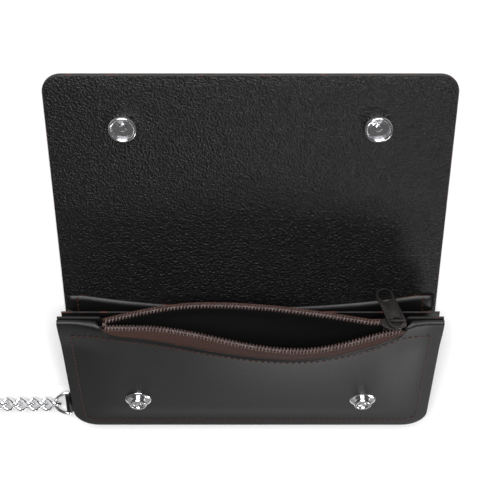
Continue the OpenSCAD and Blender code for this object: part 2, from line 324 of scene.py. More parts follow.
# ---- finishes ----
def leather_finish(name, colour, grain_mm, depth, rough, spread):
    """Chrome-tanned cowhide, drum-dyed and plated: a pebbled grain with a waxy, uneven sheen."""
    material, tree = new_material(name)
    place = add_node(tree, "ShaderNodeTexCoord")
    cells = add_node(
        tree,
        "ShaderNodeTexVoronoi",
        {"feature": "SMOOTH_F1"},
        {"Vector": (place, "Object"), "Scale": 1 / (grain_mm * MM), "Smoothness": 0.6, "Randomness": 1.0},
    )
    creases = noise(tree, place, grain_mm * 1.5, 4.0, Roughness=0.6)
    pores = noise(tree, place, 0.35, 2.0)
    # worn patches a few centimetres across
    wear = noise(tree, place, 38, 3.0, Roughness=0.55)
    relief = add_node(
        tree,
        "ShaderNodeMath",
        {"operation": "MULTIPLY_ADD"},
        {0: (creases, "Fac"), 1: 0.8, 2: (cells, "Distance")},
    )
    grain = relief_bump(tree, (relief, "Value"), depth, 0.5)
    bump = relief_bump(tree, (pores, "Fac"), 0.18, 0.03, Normal=(grain, "Normal"))
    tones = [(0.3, shade(colour, 0.7)), (0.55, shade(colour, 1.0)), (0.8, shade(colour, 1.5))]
    dye = ramp(tree, (wear, "Fac"), tones)
    # the plated peaks of the grain shine, and the valleys between them stay matt
    gloss = map_range(tree, (relief, "Value"), (0.35, 0.95), (rough - spread, rough + spread))
    close_material(
        tree,
        Base_Color=(dye, "Color"),
        Roughness=(gloss, "Result"),
        Normal=(bump, "Normal"),
        IOR=1.5,
        Specular_IOR_Level=0.42,
    )
    return material


def raw_edge_finish(raw):
    """Cut and burnished leather edge: pressed fibres, red-brown where the black dye stops."""
    material, tree = new_material("burnished leather edge")
    place = add_node(tree, "ShaderNodeTexCoord")
    fibres = noise(tree, place, 0.5, 4.0)
    dye = noise(tree, place, 9, 2.0)
    colour = ramp(tree, (dye, "Fac"), [(0.56, hex_colour("#0C0908")), (0.72, shade(raw, 1.0))])
    bump = relief_bump(tree, (fibres, "Fac"), 0.5, 0.08)
    close_material(tree, Base_Color=(colour, "Color"), Roughness=0.6, Normal=(bump, "Normal"))
    return material


def lining_finish():
    """Black acetate lining cloth: a fine plain weave, nearly matt."""
    material, tree = new_material("black lining cloth")
    place = add_node(tree, "ShaderNodeTexCoord")
    weave = add_node(
        tree,
        "ShaderNodeTexWave",
        {"bands_direction": "X"},
        {"Vector": (place, "Object"), "Scale": 1 / (0.9 * MM), "Distortion": 0.6, "Detail": 1.0},
    )
    bump = relief_bump(tree, (weave, "Fac"), 0.2, 0.05)
    colour = ramp(tree, (weave, "Fac"), [(0.0, hex_colour("#040404")), (1.0, hex_colour("#0A0909"))])
    close_material(
        tree, Base_Color=(colour, "Color"), Roughness=0.8, Normal=(bump, "Normal"), Specular_IOR_Level=0.15
    )
    return material


def tape_finish(woven):
    """Woven polyester zip tape: slanting ribs, 0.9 mm apart, wider than real ones so that they show."""
    material, tree = new_material("woven zip tape")
    place = add_node(tree, "ShaderNodeTexCoord")
    angled = add_node(
        tree,
        "ShaderNodeMapping",
        inputs={"Vector": (place, "Object"), "Rotation": (0.0, 0.0, math.radians(38))},
    )
    ribs = add_node(
        tree,
        "ShaderNodeTexWave",
        {"bands_direction": "X"},
        {
            "Vector": (angled, "Vector"),
            "Scale": WAVE_STEP / (0.9 * MM),
            "Distortion": 0.4,
            "Detail": 1.0,
            "Detail Scale": 3.0,
        },
    )
    fuzz = noise(tree, place, 1.2, 3.0)
    mixed = add_node(
        tree, "ShaderNodeMath", {"operation": "MULTIPLY_ADD"}, {0: (fuzz, "Fac"), 1: 0.5, 2: (ribs, "Fac")}
    )
    colour = ramp(tree, (mixed, "Value"), [(0.25, shade(woven, 0.2)), (1.0, shade(woven, 1.7))])
    bump = relief_bump(tree, (mixed, "Value"), 0.5, 0.15)
    close_material(
        tree, Base_Color=(colour, "Color"), Roughness=0.8, Normal=(bump, "Normal"), Specular_IOR_Level=0.2
    )
    return material


def thread_finish(dyed):
    """Bonded nylon thread: twisted plies, dark red-brown, slightly waxy."""
    material, tree = new_material("bonded nylon thread")
    place = add_node(tree, "ShaderNodeTexCoord")
    plies = add_node(
        tree,
        "ShaderNodeTexWave",
        {"bands_direction": "DIAGONAL"},
        {"Vector": (place, "Object"), "Scale": WAVE_STEP / (0.35 * MM)},
    )
    colour = ramp(tree, (plies, "Fac"), [(0.0, shade(dyed, 0.6)), (1.0, shade(dyed, 1.25))])
    bump = relief_bump(tree, (plies, "Fac"), 0.3, 0.05)
    close_material(tree, Base_Color=(colour, "Color"), Roughness=0.5, Normal=(bump, "Normal"))
    return material


def coil_finish(nylon):
    """Nylon monofilament zip coil: smooth, warm dark brown, with a soft plastic gloss."""
    material, tree = new_material("nylon zip coil")
    place = add_node(tree, "ShaderNodeTexCoord")
    mottle = noise(tree, place, 2.5, 2.0)
    colour = ramp(tree, (mottle, "Fac"), [(0.3, shade(nylon, 0.8)), (0.7, shade(nylon, 1.3))])
    close_material(tree, Base_Color=(colour, "Color"), Roughness=0.32, IOR=1.53)
    return material


def enamel_finish():
    """Die-cast zinc under dark enamel: near black brown, satin, brighter where fingers have rubbed it."""
    material, tree = new_material("dark enamelled zinc")
    place = add_node(tree, "ShaderNodeTexCoord")
    rub = noise(tree, place, 3.5, 4.0)
    colour = ramp(tree, (rub, "Fac"), [(0.35, hex_colour("#1E1B1B")), (0.75, hex_colour("#3B3636"))])
    gloss = map_range(tree, (rub, "Fac"), (0.3, 0.7), (0.42, 0.26))
    bump = relief_bump(tree, (rub, "Fac"), 0.15, 0.05)
    surface = {"Roughness": (gloss, "Result"), "Normal": (bump, "Normal")}
    close_material(tree, Base_Color=(colour, "Color"), Metallic=0.55, **surface)
    return material


def plated_finish(name, plate, rough):
    """Nickel-chrome plate on pressed or drawn metal: mirror bright with fine tumbling marks."""
    material, tree = new_material(name)
    place = add_node(tree, "ShaderNodeTexCoord")
    marks = noise(tree, place, 1.1, 5.0)
    colour = ramp(tree, (marks, "Fac"), [(0.3, shade(plate, 0.85)), (0.7, shade(plate, 1.0))])
    gloss = map_range(tree, (marks, "Fac"), (0.35, 0.7), (rough, rough + 0.12))
    bump = relief_bump(tree, (marks, "Fac"), 0.06, 0.03)
    surface = {"Roughness": (gloss, "Result"), "Normal": (bump, "Normal")}
    close_material(tree, Base_Color=(colour, "Color"), Metallic=1.0, **surface)
    return material


FINISHES = {}


def finish(name):
    """The finish of that name, made when first asked for."""
    colours = bpy.context.scene.wallet_colours
    makers = {
        "pebbled": lambda: leather_finish("pebbled cowhide", colours.leather, 0.9, 1.0, 0.37, 0.12),
        "smooth": lambda: leather_finish("smooth cowhide", colours.leather, 0.7, 0.12, 0.45, 0.03),
        "raw": lambda: raw_edge_finish(colours.raw_edge),
        "lining": lining_finish,
        "tape": lambda: tape_finish(colours.tape),
        "thread": lambda: thread_finish(colours.thread),
        "coil": lambda: coil_finish(colours.coil),
        "enamel": enamel_finish,
        "snap": lambda: plated_finish("polished snap plate", colours.metal, 0.1),
        "chain": lambda: plated_finish("nickel plated chain wire", colours.metal, 0.14),
        "spring": lambda: plated_finish("drawn spring steel", hex_colour("#9A9A9C"), 0.3),
    }
    if name not in FINISHES:
        FINISHES[name] = makers[name]()
    return FINISHES[name]


# ---- mesh tools ----
def make_piece(name, bm, finishes, flat_angle=math.radians(40)):
    """Turns a bmesh into a smooth-shaded object with these finishes."""
    mesh = bpy.data.meshes.new(name)
    for face in bm.faces:
        face.smooth = True
    for edge in bm.edges:
        edge.smooth = len(edge.link_faces) != 2 or edge.calc_face_angle(0) < flat_angle
    bm.to_mesh(mesh)
    bm.free()
    made = bpy.data.objects.new(name, mesh)
    bpy.context.scene.collection.objects.link(made)
    for key in finishes:
        mesh.materials.append(finish(key))
    return made


def round_corners(bm, radius, chosen):
    """Rounds the chosen plan corners of a flat face."""
    corners = [v for v in bm.verts if chosen(v.co)]
    if corners and radius > 0:
        bmesh.ops.bevel(
            bm,
            geom=corners,
            offset=radius,
            offset_type="OFFSET",
            segments=10,
            profile=0.5,
            affect="VERTICES",
            material=-1,
        )


def leather_sheet(low, high, thickness, radius_low, radius_high, cuts_y):
    """A flat cut of leather from corner low to corner high, its rim rounded, cut across for bending."""
    bm = bmesh.new()
    bmesh.ops.create_grid(bm, x_segments=1, y_segments=1, size=0.5)
    size = Vector((high[0] - low[0], high[1] - low[1], 1))
    bmesh.ops.scale(bm, vec=size, verts=bm.verts)
    middle = Vector(((high[0] + low[0]) / 2, (high[1] + low[1]) / 2, 0))
    bmesh.ops.translate(bm, vec=middle, verts=bm.verts)
    round_corners(bm, radius_low, lambda co: co.y < middle.y)
    round_corners(bm, radius_high, lambda co: co.y > middle.y)
    grown = bmesh.ops.extrude_face_region(bm, geom=bm.faces[:])
    raised = [e for e in grown["geom"] if isinstance(e, bmesh.types.BMVert)]
    bmesh.ops.translate(bm, vec=(0, 0, thickness), verts=raised)
    bmesh.ops.recalc_face_normals(bm, faces=bm.faces)
    for face in bm.faces:
        face.material_index = 0 if abs(face.normal.z) > 0.5 else 1

    def on_rim(edge):
        level = abs(edge.verts[0].co.z - edge.verts[1].co.z) < 1e-6
        return level and len(edge.link_faces) == 2 and edge.calc_face_angle(0) > 0.8

    rims = [edge for edge in bm.edges if on_rim(edge)]
    bevel_width = bpy.context.scene.wallet_sizes.edge_round
    bmesh.ops.bevel(
        bm,
        geom=rims,
        offset=bevel_width,
        offset_type="OFFSET",
        segments=3,
        profile=0.5,
        affect="EDGES",
        material=1,
    )
    for y in cuts_y:
        whole = bm.verts[:] + bm.edges[:] + bm.faces[:]
        bmesh.ops.bisect_plane(bm, geom=whole, dist=1e-7, plane_co=(0, y, 0), plane_no=(0, 1, 0))
    return bm


def shaped_grid(columns, rows, place):
    """A grid of leather or cloth whose points place(i, j) puts where they go."""
    bm = bmesh.new()
    bmesh.ops.create_grid(bm, x_segments=columns, y_segments=rows, size=0.5)
    for v in bm.verts:
        v.co = place(round((v.co.x + 0.5) * columns), round((v.co.y + 0.5) * rows))
    bmesh.ops.recalc_face_normals(bm, faces=bm.faces)
    return bm


def give_wall(made, thickness, offset, rim_index, back_index):
    """A live wall thickness on a shaped grid, with its own finish on the cut rim and the far side."""
    wall = made.modifiers.new("wall", "SOLIDIFY")
    wall.thickness = thickness
    wall.offset = offset
    wall.use_even_offset = True
    wall.material_offset_rim = rim_index
    wall.material_offset = back_index


def apply_modifiers(made):
    """Fixes an object's modifiers into its mesh."""
    graph = bpy.context.evaluated_depsgraph_get()
    mesh = bpy.data.meshes.new_from_object(made.evaluated_get(graph))
    made.modifiers.clear()
    made.data = mesh


def soften_rim(bm, width):
    """Rounds every sharp edge of a closed shape."""
    sharpest_smooth = math.radians(35)
    sharp = [e for e in bm.edges if len(e.link_faces) == 2 and e.calc_face_angle(0) > sharpest_smooth]
    bmesh.ops.bevel(
        bm,
        geom=sharp,
        offset=width,
        offset_type="OFFSET",
        segments=2,
        profile=0.5,
        affect="EDGES",
        clamp_overlap=True,
        material=-1,
    )


def refined_copy(node, name, key, body, width_mm):
    """A copy of a frame node with its doubles merged and its sharp edges rounded, in place of that node."""
    bm = bmesh.new()
    bm.from_mesh(frame["nodes"][node].data)
    bmesh.ops.remove_doubles(bm, verts=bm.verts, dist=0.002 * MM)
    bmesh.ops.dissolve_limit(
        bm, angle_limit=math.radians(0.5), verts=bm.verts, edges=bm.edges, use_dissolve_boundaries=False
    )
    soften_rim(bm, width_mm * MM)
    made = make_piece(name, bm, [key])
    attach(made, body)
    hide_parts(node)


def swept_wire(bm, points, radius, sides, closed):
    """Adds a round wire through points, as a curve turned into a mesh."""
    curve = bpy.data.curves.new("wire", "CURVE")
    curve.dimensions = "3D"
    curve.bevel_depth = radius
    curve.bevel_resolution = max(sides // 2 - 2, 0)
    curve.use_fill_caps = not closed
    spline = curve.splines.new("POLY")
    spline.points.add(len(points) - 1)
    for target, point in zip(spline.points, points):
        target.co = (*point, 1)
    spline.use_cyclic_u = closed
    holder = bpy.data.objects.new("wire", curve)
    bpy.context.scene.collection.objects.link(holder)
    bpy.context.view_layer.update()
    mesh = bpy.data.meshes.new_from_object(holder.evaluated_get(bpy.context.evaluated_depsgraph_get()))
    bm.from_mesh(mesh)
    bpy.data.objects.remove(holder)
    bpy.data.curves.remove(curve)
    bpy.data.meshes.remove(mesh)


def add_stitch(bm, start, end, normal, thread):
    """Adds one stitch: a small rounded cord, nearly as long as its span, tapering to both ends."""
    along = end - start
    fill = 0.94
    made = bmesh.ops.create_icosphere(bm, subdivisions=1, radius=thread / 2)["verts"]
    for v in made:
        v.co.x *= along.length / thread * fill
    side = normal.cross(along).normalized()
    up = along.cross(side).normalized()
    turn = Matrix((along.normalized(), side, up)).transposed().to_4x4()
    bmesh.ops.transform(bm, matrix=Matrix.Translation((start + end) / 2) @ turn, verts=made)


def stitch_run(bm, point, normal, length, pitch, thread):
    """Stitches along point(t), t from 0 to length, lying on a surface with that normal."""
    count = max(int(length / pitch), 1)
    gap = 0.14
    for i in range(count):
        t0, t1 = (i + gap) * length / count, (i + 1 - gap) * length / count
        add_stitch(bm, point(t0), point(t1), normal, thread)


# ---- operators ----
class WALLET_OT_cover(bpy.types.Operator):
    """Make the cover: one thick piece of leather, as two halves that meet in the spine"""

    bl_idname = "wallet.cover"
    bl_label = "Cover"

    def execute(self, context):
        middle = (FOLD_Y + SECOND_FOLD_Y) / 2
        cuts = [k * 0.75 * MM for k in range(-6, 7)]
        parts = (
            ("cover_leather_back", BOTTOM_Y, middle, 12 * MM, 0, FOLD_Y, ("root", "spine"), ("cover_back",)),
            (
                "cover_leather_flap",
                middle,
                FLAP_END_Y,
                0,
                8.5 * MM,
                SECOND_FOLD_Y,
                ("spine", "flap"),
                ("cover_spine", "cover_flap"),
            ),
        )
        for name, y0, y1, r0, r1, fold, bodies, nodes in parts:
            across = [fold + c for c in cuts] + [y0 + (y1 - y0) * k / 12 for k in range(1, 12)]
            bm = leather_sheet((-HALF_W, y0), (HALF_W, y1), COVER_T, r0, r1, across)
            # the two halves meet face to face, so the cut ends between them are left off
            ends = [f for f in bm.faces if all(abs(v.co.y - middle) < 0.5 * MM for v in f.verts)]
            bmesh.ops.delete(bm, geom=ends, context="FACES")
            for v in bm.verts:
                if abs(v.co.y - middle) < 0.6 * MM:
                    v.co.y = middle
            bmesh.ops.remove_doubles(bm, verts=bm.verts, dist=0.001 * MM)
            made = make_piece(name, bm, ["pebbled", "raw"])
            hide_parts(*nodes)
            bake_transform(made)
        return {"FINISHED"}


class WALLET_OT_leaves(bpy.types.Operator):
    """Make the rear and middle leaves and the strap that holds the chain"""

    bl_idname = "wallet.leaves"
    bl_label = "Leaves and strap"

    def execute(self, context):
        low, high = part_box("rear_divider")
        scoop, scoop_r, corner = 7.5 * MM, 420 * MM, 10.5 * MM
        half = high.x

        def rear_place(i, j):
            x = -half + 2 * half * i / 70
            over = abs(x) - (half - corner)
            foot = corner - math.sqrt(max(corner**2 - over**2, 0)) if over > 0 else 0
            top = high.y - max(scoop - x**2 / (2 * scoop_r), 0)
            return Vector((x, low.y + foot + (top - low.y - foot) * j / 24, high.z))

        bm = shaped_grid(70, 24, rear_place)
        rear = make_piece("rear_leaf", bm, ["smooth", "raw"])
        give_wall(rear, high.z - low.z, -1, 1, 0)
        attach(rear, "root")
        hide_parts("rear_divider")

        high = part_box("mid_divider")[1]
        length, thick = (high.y - LEAF_ORIGIN.y) / math.cos(LEAF_TILT), 1 * MM
        bm = leather_sheet((-HALF_W, 0), (HALF_W, length), thick, CORNER_R * MM, 0, [])
        tilt = Matrix.Translation(LEAF_ORIGIN) @ Matrix.Rotation(LEAF_TILT, 4, "X")
        bmesh.ops.transform(bm, matrix=tilt, verts=bm.verts)
        middle = make_piece("middle_leaf", bm, ["smooth", "raw"])
        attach(middle, "leaf")
        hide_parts("mid_divider")
        refined_copy("chain_loop", "chain_strap", "smooth", "root", 0.2)
        return {"FINISHED"}


class WALLET_OT_gussets(bpy.types.Operator):
    """Make the folded gussets at both sides of the two note compartments"""

    bl_idname = "wallet.gussets"
    bl_label = "Gussets"

    def execute(self, context):
        rows, folds = 26, 12
        # in millimetres: where the gussets start, how far they fold in, and the space left over them
        start, depth_in, clear = 10, 9, 0.35
        leaf_t = 1.0
        floor_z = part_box("rear_divider")[1].z
        for side, word in ((-1, "left"), (1, "right")):
            edge = side * (HALF_W / MM - 1.2)

            def fold_in(j):
                """Distance that the folded gusset stands in from the edge, 0 at its sewn sides."""
                return depth_in * (1 - abs(2 * j / folds - 1))

            def lower(i, j):
                s = start + 62 * i / rows
                depth = fold_in(j) * smooth(i / 6)
                height = (s * math.tan(LEAF_TILT) - clear) * j / folds
                y = LEAF_ORIGIN.y + s * MM
                return Vector(((edge - side * depth) * MM, y, floor_z + (0.05 + height) * MM))

            def upper(i, j):
                s = start + 64 * i / rows
                depth = fold_in(j) * smooth(i / 6)
                height = (s * math.tan(POCKET_TILT - LEAF_TILT) - clear) * j / folds
                return leaf_point(edge - side * depth, s, leaf_t + 0.05 + height)

            for name, place, body, joint, axis, anchor in (
                ("gusset_lower_", lower, "root", "leaf_swing", Vector((0, 0, 1)), Vector((0, 0, floor_z))),
                ("gusset_upper_", upper, "leaf", "pocket_swing", LEAF_NORMAL, leaf_point(0, 0, leaf_t)),
            ):
                bm = shaped_grid(rows, folds, place)
                made = make_piece(name[:-1] + "_leather_" + word, bm, ["smooth", "raw"])
                give_wall(made, 0.55 * MM, 0, 1, 0)
                apply_modifiers(made)
                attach(made, body)
                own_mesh(made)
                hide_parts(name + word)
        return {"FINISHED"}


def pocket_columns():
    """Places of the pocket's columns across its width, in millimetres, closest at corners and mouth ends."""
    half = HALF_W / MM
    flat = half - CORNER_R
    places = {round(flat * k / 30, 3) for k in range(-30, 31)}
    for side in (-1, 1):
        places |= {round(side * (flat + CORNER_R * math.sin(math.pi / 2 * k / 9)), 3) for k in range(10)}
    places |= {end + step for end in (MOUTH_X0, MOUTH_X1) for step in (-2, -1, -0.4, 0, 0.4, 1, 2, 3)}
    return sorted(places)


def pocket_piece(name, place, rows, keys):
    """A piece of the pocket over all its columns."""
    columns = pocket_columns()
    bm = shaped_grid(len(columns) - 1, rows, lambda i, j: place(columns[i], j / rows))
    return make_piece(name, bm, keys)


FRONT_SQUASH = {"axis": POCKET_NORMAL, "anchor": pocket_point(0, 0, 3.8), "keep": 0.4}
BACK_SQUASH = {"axis": POCKET_NORMAL, "anchor": pocket_point(0, 0, 1.0), "keep": 0.08}


class WALLET_OT_pocket(bpy.types.Operator):
    """Make the zip pocket's two leather walls, swelling open at the mouth"""

    bl_idname = "wallet.pocket"
    bl_label = "Zip pocket"

    def execute(self, context):
        def front(x, v):
            climb, end = min(v / CLIMB_SHARE, 1), max(v - CLIMB_SHARE, 0) / (1 - CLIMB_SHARE)
            s0, s1 = bottom_edge(x), window_edge(x)
            s = s0 + (s1 - 3 - s0) * climb + 3 * end
            lip = Vector((s, front_height(x, s) - 0.6 * smooth((s - s1 + 1.6) / 1.6)))
            # beside the mouth the leather rolls over the top, in a half round, to meet the back wall
            r = (front_height(x, POCKET_LEN) - WALL_T) / 2
            s = s0 + (POCKET_LEN - r - s0) * climb
            angle = 0.95 * math.pi * end
            rolled = Vector((s + r * math.sin(angle), front_height(x, s) - r * (1 - math.cos(angle))))
            beside = smooth((max(MOUTH_X0 - x, x - MOUTH_X1) + 1.5) / 3)
            s, n = lip.lerp(rolled, beside)
            return pocket_point(x, s, n)

        wall = pocket_piece("pocket_front_leather", front, 50, ["smooth", "raw", "lining"])
        flip_to(wall, POCKET_NORMAL)
        give_wall(wall, WALL_T * MM, -1, 1, 2)
        finish_wall(wall)
        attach(wall, "pocket")
        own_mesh(wall)
        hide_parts("pocket_front")

        def back(x, v):
            s0, s1 = bottom_edge(x), back_edge(x)
            s = s0 + (s1 - s0) * v
            return pocket_point(x, s, back_height(x, s))

        wall = pocket_piece("pocket_back_leather", back, 40, ["smooth", "raw", "lining"])
        flip_to(wall, -POCKET_NORMAL)
        give_wall(wall, WALL_T * 0.96 * MM, -1, 1, 2)
        finish_wall(wall)
        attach(wall, "pocket")
        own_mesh(wall)
        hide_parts("pocket_back")
        return {"FINISHED"}


def flip_to(made, direction):
    """Turns a grid's faces to look along direction."""
    bm = bmesh.new()
    bm.from_mesh(made.data)
    total = sum((f.normal * f.calc_area() for f in bm.faces), Vector())
    if total.dot(direction) < 0:
        bmesh.ops.reverse_faces(bm, faces=bm.faces)
    bm.to_mesh(made.data)
    bm.free()


def finish_wall(made):
    """Rounds the rim of a leather wall and fixes it into the mesh."""
    rim = made.modifiers.new("rim", "BEVEL")
    rim.width = 0.3 * MM
    rim.segments = 2
    rim.limit_method = "ANGLE"
    rim.angle_limit = math.radians(50)
    apply_modifiers(made)


class WALLET_OT_zip(bpy.types.Operator):
    """Make the zip: two woven tapes, two nylon coils and their stops"""

    bl_idname = "wallet.zip"
    bl_label = "Zip"

    def execute(self, context):
        first, last = MOUTH_X0 + 2.0, MOUTH_X1 - 2.0
        columns = 110

        def front_tape(i, j):
            x = first + (last - first) * i / columns
            coil_s, coil_n = front_coil(x)
            low_s = window_edge(x) - 4
            v = j / 12
            s = low_s + (coil_s - 0.2 - low_s) * v
            inner = front_height(x, min(low_s + 4, s)) - WALL_T - 0.25
            n = inner + (coil_n + 0.75 - inner) * smooth((v - 0.1) / 0.9)
            return pocket_point(x, s, n + 0.35 * math.sin(math.pi * v))

        def back_tape(i, j):
            x = first + (last - first) * i / columns
            # this tape is sewn behind the lining, so it shows only as a fold over the far side of the coil
            coil_s, coil_n = back_coil(x)
            low_s = back_edge(x) - 5
            v = j / 8
            s = low_s + (coil_s + 1.0 - low_s) * v
            inner = back_height(x, s) + 0.7
            return pocket_point(x, s, inner + (coil_n - 1.1 - inner) * smooth(v))

        def lining(i, j):
            x = first + (last - first) * i / columns
            coil_s, coil_n = back_coil(x)
            v = j / 20
            s = 12 + (coil_s - 0.5 - 12) * v
            inner = back_height(x, s) + WALL_T + 0.15
            return pocket_point(x, s, inner + (coil_n + 0.35 - inner) * smooth((v - 0.8) / 0.2))

        for name, place, rows, key, direction, squash, node in (
            ("zip_tape_front", front_tape, 12, "tape", POCKET_NORMAL, FRONT_SQUASH, "tape_front"),
            ("zip_tape_back", back_tape, 8, "tape", -POCKET_NORMAL, BACK_SQUASH, "tape_back"),
            ("pocket_lining", lining, 20, "lining", POCKET_NORMAL, BACK_SQUASH, None),
        ):
            bm = shaped_grid(columns, rows, place)
            made = make_piece(name, bm, [key])
            flip_to(made, direction)
            give_wall(made, 0.3 * MM, -1, 0, 0)
            apply_modifiers(made)
            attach(made, "pocket")
            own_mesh(made)
            if node:
                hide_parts(node)

        for name, path, squash, node in (
            ("zip_coil_front", front_coil, FRONT_SQUASH, "coil_front"),
            ("zip_coil_back", back_coil, BACK_SQUASH, "coil_back"),
        ):
            made = self.coil(context, name, path, first + 1.5, last - 1.5)
            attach(made, "pocket")
            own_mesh(made)
            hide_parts(node)
        for word in ("left", "right"):
            refined_copy("zip_stop_" + word, "zip_end_stop_" + word, "coil", "pocket", 0.3)
        return {"FINISHED"}

    def coil(self, context, name, path, x0, x1):
        """A flattened spiral of monofilament along path, with the cord that it is sewn on by."""
        pitch = context.scene.wallet_sizes.tooth_pitch / MM
        turns = int((x1 - x0) / pitch)
        steps = 12
        points = []
        for k in range(turns * steps + 1):
            x = x0 + (x1 - x0) * k / (turns * steps)
            s, n = path(x)
            angle = 2 * math.pi * k / steps
            # the two legs of each tooth lie close together, and its head is wide and flat
            points.append(pocket_point(x, s + 0.85 * math.sin(angle), n + 1.3 * math.cos(angle)))
        bm = bmesh.new()
        swept_wire(bm, points, 0.38 * MM, 6, False)
        cord = []
        for k in range(121):
            x = x0 + (x1 - x0) * k / 120
            s, n = path(x)
            cord.append(pocket_point(x, s, n))
        swept_wire(bm, cord, 0.3 * MM, 6, False)
        return make_piece(name, bm, ["coil"], math.radians(60))


class WALLET_OT_slider(bpy.types.Operator):
    """Make the zip slider and its pull tab"""

    bl_idname = "wallet.slider"
    bl_label = "Slider and tab"

    def execute(self, context):
        refined_copy("zip_slider", "slider_casting", "enamel", "slider", 0.28)
        refined_copy("pull_tab", "slider_pull", "enamel", "tab", 0.3)
        return {"FINISHED"}


class WALLET_OT_snaps(bpy.types.Operator):
    """Make the snaps: sockets and caps on the flap, studs and washers on the pocket"""

    bl_idname = "wallet.snaps"
    bl_label = "Snaps"

    def execute(self, context):
        for word in ("left", "right"):
            for node, name, key, slot, body, rounding in (
                ("snap_socket_", "socket_", "snap", "snap_metal", "flap", 0.22),
                ("snap_cap_", "socket_cap_", "snap", "snap_metal", "flap", 0.12),
                ("snap_spring_", "socket_spring_", "spring", "spring_steel", "flap", 0.02),
                ("stud_", "press_stud_", "snap", "snap_metal", "pocket", 0.2),
                ("stud_washer_", "press_stud_rivet_", "snap", "snap_metal", "pocket", 0.1),
            ):
                refined_copy(node + word, name + word, key, body, rounding)
        return {"FINISHED"}


class WALLET_OT_stitching(bpy.types.Operator):
    """Sew the seams: round the pocket, under its mouth, and down both sides of the rear leaf"""

    bl_idname = "wallet.stitching"
    bl_label = "Stitching"

    def execute(self, context):
        sizes = context.scene.wallet_sizes
        pitch, thread = sizes.stitch_pitch, sizes.thread
        half = HALF_W / MM - MARGIN
        corner = CORNER_R - MARGIN
        bm = bmesh.new()

        def on_front(x, s):
            return pocket_point(x, s, front_height(x, s) + 0.15)

        top = POCKET_LEN - 10.5
        for side in (-1, 1):
            length = (top - MARGIN - corner) * MM

            def down_side(t):
                return on_front(side * half, top - t / MM)

            stitch_run(bm, down_side, POCKET_NORMAL, length, pitch, thread)

            def round_corner(t):
                angle = t / MM / corner
                x = side * (half - corner + corner * math.cos(angle))
                return on_front(x, MARGIN + corner - corner * math.sin(angle))

            stitch_run(bm, round_corner, POCKET_NORMAL, math.pi / 2 * corner * MM, pitch, thread)
        run = 2 * (half - corner) * MM

        def along_bottom(t):
            return on_front(-half + corner + t / MM, MARGIN)

        stitch_run(bm, along_bottom, POCKET_NORMAL, run, pitch, thread)

        def under_mouth(t):
            x = -half + t / MM
            dip = window_edge(min(max(x, MOUTH_X0 + 5), MOUTH_X1 - 5)) - 2.6
            blend = smooth((half - abs(x)) / 16)
            return on_front(x, top + (dip - top) * blend)

        stitch_run(bm, under_mouth, POCKET_NORMAL, 2 * half * MM, pitch, thread)
        made = make_piece("pocket_stitches", bm, ["thread"])
        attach(made, "pocket")
        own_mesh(made)

        bm = bmesh.new()
        rear_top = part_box("rear_divider")[1]
        for side in (-1, 1):
            x = side * (rear_top.x - 5 * MM)

            def down_leaf(t):
                return Vector((x, rear_top.y - 1.5 * MM - t, rear_top.z + 0.08 * MM))

            stitch_run(bm, down_leaf, Vector((0, 0, 1)), 34 * MM, pitch, thread)
            knot = bmesh.ops.create_icosphere(bm, subdivisions=2, radius=0.5 * MM)["verts"]
            bmesh.ops.translate(bm, vec=(x, rear_top.y - 1 * MM, rear_top.z + 0.3 * MM), verts=knot)
        made = make_piece("rear_leaf_stitches", bm, ["thread"])
        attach(made, "root")
        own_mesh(made)
        return {"FINISHED"}


def link_heading(i, turns):
    """Direction of link i, in degrees, where turns holds each link's turn from the one before."""
    return 180 + sum(turns[: i + 1])


class WALLET_OT_chain(bpy.types.Operator):
    """Make the chain: curb links, each twisted along its length, and the D-ring"""

    bl_idname = "wallet.chain"
    bl_label = "Chain"

    def execute(self, context):
        pitch, wire = 6.6 * MM, context.scene.wallet_sizes.link_wire
        near, middle, far, turn = 5, 17, 20, 22.5
        turns = [0] * near
        turns += [-turn if 1 <= i <= 4 else 0 for i in range(middle)]
        turns += [turn if 1 <= i <= 8 else 0 for i in range(far)]
        height = JOINTS["chain_swing"]["pos_m"][2]
        # the joint near the wallet lies half a pitch and five links before the first bend
        first = Vector(JOINTS["chain_bend_near"]["pos_m"]) + Vector(((near - 0.5) * pitch, 0, 0))
        place = Vector((first.x, first.y, height))
        runs = (
            ("curb_chain_near", "chain_near", "chain_a", 0, near),
            ("curb_chain_middle", "chain_middle", "chain_b", near, near + middle),
            ("curb_chain_far", "chain_far", "chain_c", near + middle, near + middle + far),
        )
        rng = random.Random(7)
        places = []
        for i in range(len(turns)):
            angle = math.radians(link_heading(i, turns))
            if i:
                before = math.radians(link_heading(i - 1, turns))
                step = Vector((math.cos(before) + math.cos(angle), math.sin(before) + math.sin(angle), 0))
                place = place + step * pitch / 2
            places.append((place.copy(), angle, rng.uniform(-6, 6)))
        for name, node, body, start, end in runs:
            bm = bmesh.new()
            for centre, angle, lean in places[start:end]:
                self.link(bm, centre, angle, math.radians(lean), wire)
            made = make_piece(name, bm, ["chain"], math.radians(80))
            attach(made, body)
            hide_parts(node)
        refined_copy("d_ring", "chain_d_ring", "chain", "ring", 0.02)
        return {"FINISHED"}

    def link(self, bm, centre, angle, lean, wire):
        """One twisted stadium link, centred on centre and pointing along angle."""
        outer_w, inner_l, most_twist = 8 * MM, 7.0 * MM, math.radians(45)
        r = (outer_w - wire) / 2
        half = (inner_l + wire) / 2 - r
        loop = []
        for end in (1, -1):
            for k in range(11):
                a = math.pi * k / 10 - end * math.pi / 2
                loop.append(Vector((end * half + r * math.cos(a), r * math.sin(a))))
        points = []
        for p in loop:
            twist = most_twist * max(-1.0, min(1.0, p.x / half * 0.75)) + lean
            flat = Vector((p.x, p.y * math.cos(twist), p.y * math.sin(twist)))
            points.append(Matrix.Rotation(angle, 3, "Z") @ flat + centre)
        swept_wire(bm, points, wire / 2, 8, True)


